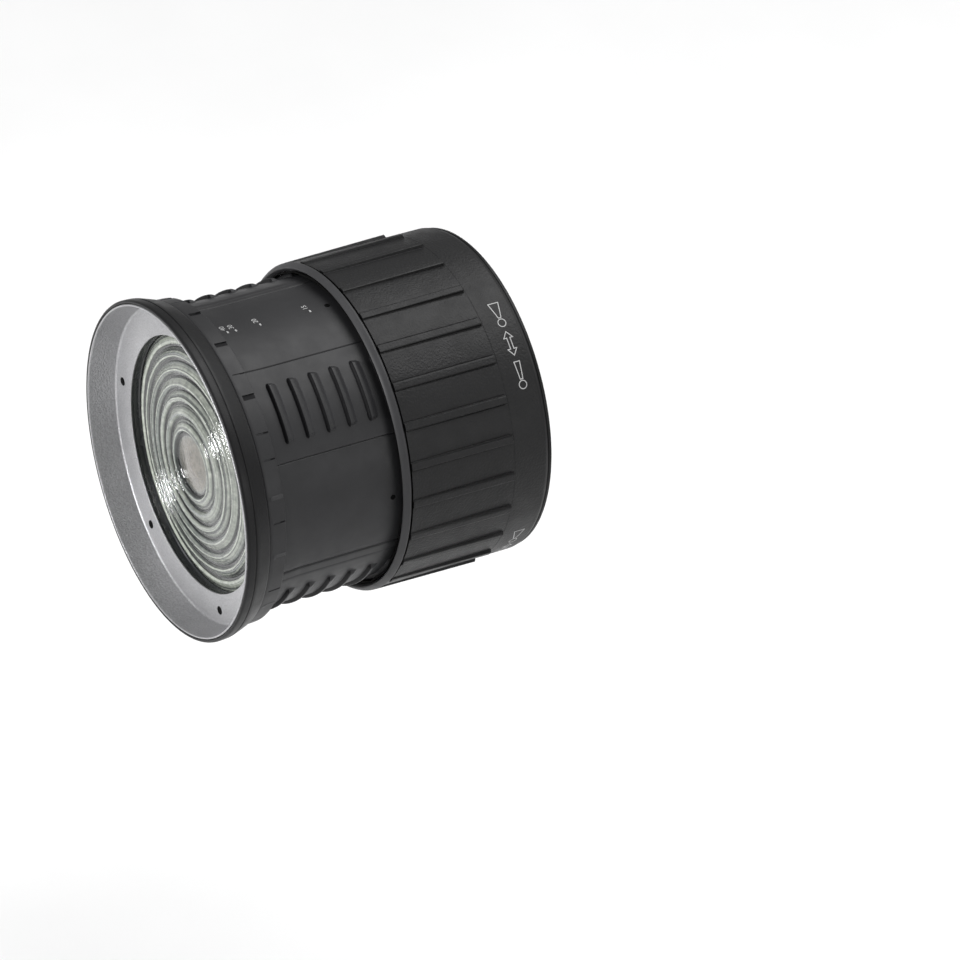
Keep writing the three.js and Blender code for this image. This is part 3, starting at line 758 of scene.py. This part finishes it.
EDGE_OFFSETS = (-4.1, -3.95, -3.8, -0.3, -0.12, 0.0, 0.12, 0.24, 0.4, 0.6, 0.8, 1.1)
RIDGE_OFFSETS = (
    -2.2, -1.72, -1.66, -1.55, -1.4, -1.2, -1.0, -0.75, -0.5, -0.25, 0.0,
    0.5, 1.0, 1.5, 2.0, 2.6, 3.2, 3.8, 4.4, 5.0, 5.6,
)
barrel_angles = list(np.arange(0, 360, 2.0))
for centre, width, start, end in PANELS:
    for sign in (-1, 1):
        edge = centre + sign * width / 2
        barrel_angles += [edge + sign * o for o in EDGE_OFFSETS]
    barrel_angles += list(np.arange(start - 0.3, start + 2.4, 0.27))
    barrel_angles += list(np.arange(end - 2.1, end + 0.6, 0.27))
barrel_stations = [BARREL_FRONT, 26.8, 27.2, 27.4, 27.65, 27.9, 28.05, 28.2, 28.6, 30.0, 32.0, 34.0]
for k in range(RIDGE_COUNT):
    middle = RIDGE_FIRST + RIDGE_PITCH * k
    barrel_stations += [middle + o for o in RIDGE_OFFSETS]
barrel_stations = sorted(set(round(float(x), 3) for x in barrel_stations if x < 118))
barrel_stations += [120.0, 122.4, BARREL_BACK]
relief(
    "barrel_skin", barrel_angles, barrel_stations, barrel_skin,
    [(BARREL_BORE, BARREL_BACK), (BARREL_BORE, BARREL_FRONT)], FRONT,
    [BARREL_GREY, INSIDE_BLACK, PAINTED_SHADE], "barrel_shell", barrel_material,
)


# ---------------------------------------------------------------- zoom ring

lathe(
    "collar_ring",
    [
        (97.6, 109.3, 0), (97.6, 107.4, 0), (96.9, 107.2), (96.9, 106.4), (98.5, 104.1), (99.3, 103.9),
        (100.6, 105.2, 1.2), (101.7, 107.2, 0.8), (101.7, 108.0), (99.9, 108.2), (99.9, 109.4),
    ],
    RING, COLLAR_GREY, "ring_collar", sides=FINE, corner=0.3,
)

RIBS = 26
RIB_PITCH = 360.0 / RIBS
RIB_HALF = 1.35  # half the width of a rib, degrees
RIB_FRONT, RIB_BACK = 110.6, 178.6
RIB_TOP, RIB_GROWTH = 101.8, 1.2  # radius of a rib at its front, and how much it grows to its back
FIELD_RADIUS, REAR_BAND = 100.75, 101.0
RING_FRONT, RING_BACK, RING_EDGE = 109.9, 202.6, 200.4  # the rear edge is rounded off from RING_EDGE
RING_BORE = 98.6


def ring_skin(angle, depth):
    field = FIELD_RADIUS + 0.1 * ramp(depth, 110, 178)
    radius = field + (REAR_BAND - field) * ramp(depth, 178.9, 179.3)
    top = RIB_TOP + RIB_GROWTH * (depth - RIB_FRONT) / (RIB_BACK - RIB_FRONT)
    off = np.abs((angle + RIB_PITCH / 2) % RIB_PITCH - RIB_PITCH / 2)
    wall = 0.85 * ramp(off, RIB_HALF - 0.14, RIB_HALF + 0.06)
    across = 1 - wall - 0.15 * ramp(off, RIB_HALF - 0.5, RIB_HALF)
    along = 1 - ramp(depth, RIB_BACK - 0.9, RIB_BACK + 0.1)
    radius = radius + np.maximum(top - radius, 0) * along * np.clip(across, 0, 1)
    crease = np.exp(-(((off - RIB_HALF - 0.2) / 0.16) ** 2)) * along
    radius = radius - 0.28 * crease
    return radius - 0.9 * ramp(depth, RING_EDGE, RING_BACK)


def ring_material(radius, angle, depth):
    return np.where(radius < RING_BORE + 0.4, 2, np.where(depth > RING_EDGE, 1, 0))


RIB_OFFSETS = (0.6, 0.85, 1.0, 1.21, 1.3, 1.41, 1.5, 1.6, 1.75, 1.95, 3.0, 4.5, 6.0)
ring_angles = []
for i in range(RIBS):
    ring_angles += [RIB_PITCH * i + side * o for o in RIB_OFFSETS for side in (-1, 1)] + [RIB_PITCH * i]
ring_stations = [RING_FRONT, 110.6, 112.2] + list(np.arange(115, 177, 3.0))
ring_stations += [177.0, 177.7, 178.0, 178.3, 178.5, 178.7, 178.9, 179.0, 179.1, 179.2, 179.3, 179.8]
ring_stations += [182, 186, 190, 194, 197.5, 199.5, RING_EDGE, 201.0, 201.6, 202.2, RING_BACK]
relief(
    "grip_ring", ring_angles, ring_stations, ring_skin,
    [(95.6, RING_BACK), (95.6, 200.1), (RING_BORE, 200.1), (RING_BORE, RING_FRONT)], RING,
    [GRIP_BLACK, TRIM_GREY, INNER_METAL], "zoom_ring", ring_material,
)


# ---------------------------------------------------------------- rear

REAR_FACE, GROOVE_FLOOR = 205.3, 204.9

lathe(
    "rear_plate",
    [
        (58.4, 203.0), (93.4, 203.0, 0), (93.4, 197.6), (95.2, 197.6), (95.2, 203.0, 0), (100.2, 203.0),
        (100.2, 204.6), (99.5, REAR_FACE), (97.0, REAR_FACE, 0), (96.7, GROOVE_FLOOR, 0),
        (96.2, GROOVE_FLOOR, 0), (95.9, REAR_FACE, 0), (75.0, REAR_FACE, 0), (74.7, GROOVE_FLOOR, 0),
        (74.2, GROOVE_FLOOR, 0), (73.9, REAR_FACE, 0), (58.4, REAR_FACE),
    ],
    REAR, BEZEL_BLACK, "rear_housing", corner=0.3,
)

# The two rings of screws in the plate.
for kind, circle_radius, first, pitch, count in (("housing", 81, 45, 90, 4), ("bayonet", 66, 30, 120, 3)):
    for i in range(count):
        screw(
            f"{kind}_screw_head_{i + 1}", f"{kind}_screw_{i + 1}", REAR,
            point(circle_radius, first + pitch * i, 205.05), (0, 1, 0), radius=3.0, height=0.45, socket=0.13,
        )

NECK_RADIUS, NECK_BORE, NECK_END = 55.0, 49.0, 217.0
LUG_ANGLES = (0, 120, 240)
LUG_HALF, LUG_HEIGHT = 20.0, 6.5
LUG_FRONT, LUG_BACK = (211.7, 211.9), (215.8, 216.1)


def bayonet_skin(angle, depth):
    radius = NECK_RADIUS - 0.8 * ramp(depth, 216.2, NECK_END)
    for centre in LUG_ANGLES:
        off = np.abs(wrapped(angle - centre))
        side = 1 - ramp(off, LUG_HALF - 0.5, LUG_HALF)
        lug = side * ramp(depth, *LUG_FRONT) * (1 - ramp(depth, *LUG_BACK))
        radius = radius + LUG_HEIGHT * lug * (1 - 0.06 * ramp(off, LUG_HALF - 2.0, LUG_HALF - 0.5))
    return radius


bayonet_angles = list(np.arange(0, 360, 2.5))
for centre in LUG_ANGLES:
    for sign in (-1, 1):
        bayonet_angles += [centre + sign * (LUG_HALF - o) for o in (2, 1.2, 0.5, 0.35, 0.2, 0)]
relief(
    "bayonet_neck", bayonet_angles,
    [
        206.0, 208.0, 211.0, 211.65, 211.72, 211.9, 212.2, 214.0,
        215.5, 215.8, 216.0, 216.15, 216.4, 216.7, NECK_END,
    ],
    bayonet_skin,
    [
        (NECK_BORE, NECK_END), (NECK_BORE, 201.0), (71.9, 201.0), (71.9, 202.7), (58.0, 202.7),
        (58.0, 205.6), (NECK_RADIUS, 206.0),
    ],
    REAR, [INNER_METAL], "bayonet_mount",
)

lathe(
    "condenser_holder",
    [
        (50.0, 200.6), (63.0, 200.6), (63.0, 198.8), (53.0, 198.8), (56.6, 165.0), (54.2, 165.0),
        (54.2, 181.4), (51.0, 181.4), (50.0, 197.6),
    ],
    REAR, INSIDE_BLACK, "condenser_cell",
)

CONDENSER_R, CONDENSER_EDGE, CONDENSER_BULGE, CONDENSER_BACK = 53.6, 178, 9.5, 181.0
DOME_POINTS = 12

dome = [(0.0, CONDENSER_EDGE - CONDENSER_BULGE)]
for i in range(1, DOME_POINTS + 1):
    t = i / DOME_POINTS
    dome.append((CONDENSER_R * t, CONDENSER_EDGE - CONDENSER_BULGE * (1 - t * t)))
dome += [(radius, CONDENSER_BACK) for radius in (CONDENSER_R, 26.0, 0.0)]
turned_disc("condenser_glass", dome, REAR, REAR_GLASS, "condenser_lens")
lathe(
    "condenser_clip_ring", [(52.4, 174.6), (53.9, 174.6), (53.9, 176.8), (52.4, 176.8)],
    REAR, BLACK_STEEL, "condenser_retainer", corner=0.3,
)


# ---------------------------------------------------------------- markings

INK = 0.05  # thickness of a printed mark, mm
DASH = 1.5  # a printed line is cut into pieces about this long, so that it follows the cylinder


def on_cylinder(x, y, angle, depth, radius):
    """Maps flat artwork onto the cylinder: x runs towards smaller angles, y towards the lens."""
    return point(radius, angle - math.degrees(x / radius), depth - y)


def numeral(text, angle, depth, height, radius):
    curve = bpy.data.curves.new("numeral", "FONT")
    curve.body = text
    curve.size = height
    curve.align_x = "CENTER"
    curve.align_y = "CENTER"
    holder = bpy.data.objects.new("numeral", curve)
    bpy.context.scene.collection.objects.link(holder)
    bpy.context.view_layer.update()
    mesh = bpy.data.meshes.new_from_object(holder.evaluated_get(bpy.context.evaluated_depsgraph_get()))
    bpy.data.objects.remove(holder)
    co = [on_cylinder(v.co.x, v.co.y, angle, depth, radius) for v in mesh.vertices]
    faces = [tuple(p.vertices) for p in mesh.polygons]
    return co, faces


def strip(points, width, angle, depth, radius, closed=False):
    """A painted line through flat points."""
    path = [Vector(p) for p in points]
    if closed:
        path.append(path[0])
    dense = [path[0]]
    for start, end in zip(path, path[1:]):
        steps = max(1, round((end - start).length / DASH))
        dense += [start.lerp(end, k / steps) for k in range(1, steps + 1)]
    if closed:
        dense.pop()
    count = len(dense)
    co, faces = [], []
    for i, here in enumerate(dense):
        before = dense[i - 1] if closed or i > 0 else here * 2 - dense[1]
        after = dense[(i + 1) % count] if closed or i < count - 1 else here * 2 - dense[i - 1]
        one, two = (here - before).normalized(), (after - here).normalized()
        along = (one + two).normalized()
        side = Vector((-along.y, along.x)) * (width / 2) / max(0.5, along.dot(one))
        for x, y in (here + side, here - side):
            co.append(on_cylinder(x, y, angle, depth, radius))
    for i in range(count if closed else count - 1):
        n = (i + 1) % count
        faces.append((2 * i, 2 * i + 1, 2 * n + 1, 2 * n))
    return co, faces


def artwork(name, parts, body, material):
    """Ink: each flat face becomes a thin closed chip that stands on the surface."""
    co, faces = [], []
    for part_co, part_faces in parts:
        base = len(co)
        co += part_co
        faces += [tuple(base + i for i in f) for f in part_faces]
    mesh = bpy.data.meshes.new(name)
    mesh.from_pydata(co, [], faces)
    ink = bmesh.new()
    ink.from_mesh(mesh)
    bmesh.ops.remove_doubles(ink, verts=ink.verts, dist=1e-7)
    bmesh.ops.recalc_face_normals(ink, faces=ink.faces)
    bmesh.ops.solidify(ink, geom=ink.faces[:], thickness=INK * MM)
    ink.to_mesh(mesh)
    ink.free()
    faces_out(mesh)
    mesh.update()
    return finish_piece(name, mesh, [material], body)


def skin_radius(angle, depth):
    return float(barrel_skin(np.array([[angle]]), np.array([[depth]]))[0, 0])


SCALE_ANGLE = -2.2
SCALE_DEPTHS = {"15": 87.8, "20": 54.6, "30": 38.5, "40": 33.1}
SCALE_HEIGHT = 4.4
scale = []
for text, depth in SCALE_DEPTHS.items():
    on_skin = skin_radius(SCALE_ANGLE, depth - 2.0) + 0.04
    scale.append(numeral(text, SCALE_ANGLE, depth, SCALE_HEIGHT, on_skin))
    scale.append(strip([(-3.5, -1.2), (-5.4, -1.2)], 1.0, SCALE_ANGLE, depth, on_skin))
artwork("beam_scale", scale, FRONT, MARK_WHITE)


def lamp(x, radius=2.5, count=24):
    """A circle on the symbol's middle line."""
    turns = [2 * math.pi * i / count for i in range(count)]
    return [(x + radius * math.cos(turn), radius * math.sin(turn)) for turn in turns]


# Spot and flood: a lamp with a narrow beam, an arrow both ways, a lamp with a wide beam.
NARROW_BEAM = [(-22.2, 0.9), (-11.5, 1.9), (-11.5, -1.9), (-22.2, -0.9)]
ARROW = [
    (-7.5, 0), (-3.5, 3.0), (-3.5, 1.1), (3.5, 1.1), (3.5, 3.0),
    (7.5, 0), (3.5, -3.0), (3.5, -1.1), (-3.5, -1.1), (-3.5, -3.0),
]
WIDE_BEAM = [(16.8, 0.9), (26.8, 3.4), (26.8, -3.4), (16.8, -0.9)]
SHAPES = [lamp(-25.6), NARROW_BEAM, ARROW, lamp(13.4), WIDE_BEAM]
SYMBOL_ANGLES, SYMBOL_DEPTH, SYMBOL_LINE = (37.7, 127.7), 191.5, 0.55
SYMBOL_RADIUS = REAR_BAND + 0.03
for number, angle in enumerate(SYMBOL_ANGLES):
    symbol = [strip(shape, SYMBOL_LINE, angle, SYMBOL_DEPTH, SYMBOL_RADIUS, closed=True) for shape in SHAPES]
    artwork(f"zoom_symbol_{number + 1}", symbol, RING, MARK_WHITE)


# ---------------------------------------------------------------- CAD nodes that stay

KEPT = {
    "lens_cell": INNER_METAL,
    "follower_carrier": INNER_METAL,
    "guide_sleeve": INNER_METAL,
    "cam_sleeve": INNER_METAL,
    "light_seal": FELT,
    "ring_circlip": STEEL,
}
for i in (1, 2, 3):
    KEPT[f"cam_follower_{i}"] = BRASS
    KEPT[f"drive_key_{i}"] = STEEL
for name, material in KEPT.items():
    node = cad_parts[name]
    if node.data.materials:
        node.material_slots[0].material = material
    else:
        node.data.materials.append(material)


# ---------------------------------------------------------------- floor, lights and camera

FLOOR_DROP = 0.30  # the part hangs on its lamp, clear of the floor
FLOOR_HALF = 6.0
SURROUND = 0.33  # strength of the plain white surroundings


def floor():
    mesh = bpy.data.meshes.new("studio_floor")
    z = CAD_BOX[0][2] - FLOOR_DROP
    corners = [(-1, -1), (1, -1), (1, 1), (-1, 1)]
    mesh.from_pydata([(x * FLOOR_HALF, y * FLOOR_HALF, z) for x, y in corners], [], [(0, 1, 2, 3)])
    piece = bpy.data.objects.new("studio_floor", mesh)
    bpy.context.scene.collection.objects.link(piece)
    material, nodes, links, shader = new_material("floor_pale")
    fleck = mapped_noise(nodes, links, 4.0, 3.0)
    tone = ramped(nodes, links, fleck, [(LOW, grey(0.88)), (HIGH, grey(0.92))])
    links.new(tone, shader.inputs["Base Color"])
    shader.inputs["Roughness"].default_value = 0.9
    shader.inputs["Specular IOR Level"].default_value = 0.1
    mesh.materials.append(material)


def softbox(name, place, size, power, target=(0.0, -0.1, 0.0)):
    """A rectangular lamp that faces the middle of the part and doesn't show itself."""
    light = bpy.data.lights.new(name, "AREA")
    light.shape = "RECTANGLE"
    light.size, light.size_y = size
    light.energy = power
    holder = bpy.data.objects.new(name, light)
    bpy.context.scene.collection.objects.link(holder)
    holder.location = place
    holder.visible_camera = False
    holder.rotation_euler = (Vector(target) - Vector(place)).to_track_quat("-Z", "Y").to_euler()


floor()
softbox("key_above", place=(-0.12, 0.95, 2.2), size=(2.4, 2.0), power=52.0)
softbox("fill_right", place=(2.2, 0.7, 0.7), size=(1.2, 1.2), power=9.0)
softbox("front_above", place=(-0.8, -1.15, 1.6), size=(0.8, 0.7), power=3.5)
softbox("rear_low", place=(0.1, 2.3, 0.75), size=(1.8, 1.2), power=7.0)
softbox("glint_front", place=(-0.04, -2.0, 0.46), size=(0.36, 0.36), power=32.0)

world = bpy.data.worlds.new("studio_world")
bpy.context.scene.world = world
world.use_nodes = True
backdrop = world.node_tree.nodes["Background"]
backdrop.inputs["Color"].default_value = (1.0, 1.0, 1.0, 1.0)
backdrop.inputs["Strength"].default_value = SURROUND
bpy.context.scene.view_settings.view_transform = "Standard"

CAMERA_PLACE = Vector((2.03727, -1.34585, 1.82299))
CAMERA_AIM = Vector((0.0, 0.016374, -0.076897))
CAMERA_ROLL = 6.0642  # degrees

lens = bpy.data.cameras.new("camera")
lens.sensor_width = 36.0
lens.lens = 187.5
camera = bpy.data.objects.new("camera", lens)
bpy.context.scene.collection.objects.link(camera)
aimed = (CAMERA_AIM - CAMERA_PLACE).to_track_quat("-Z", "Y").to_matrix().to_4x4()
roll = Matrix.Rotation(math.radians(CAMERA_ROLL), 4, "Z")
camera.matrix_world = Matrix.Translation(CAMERA_PLACE) @ aimed @ roll
bpy.context.scene.camera = camera

bpy.context.view_layer.update()
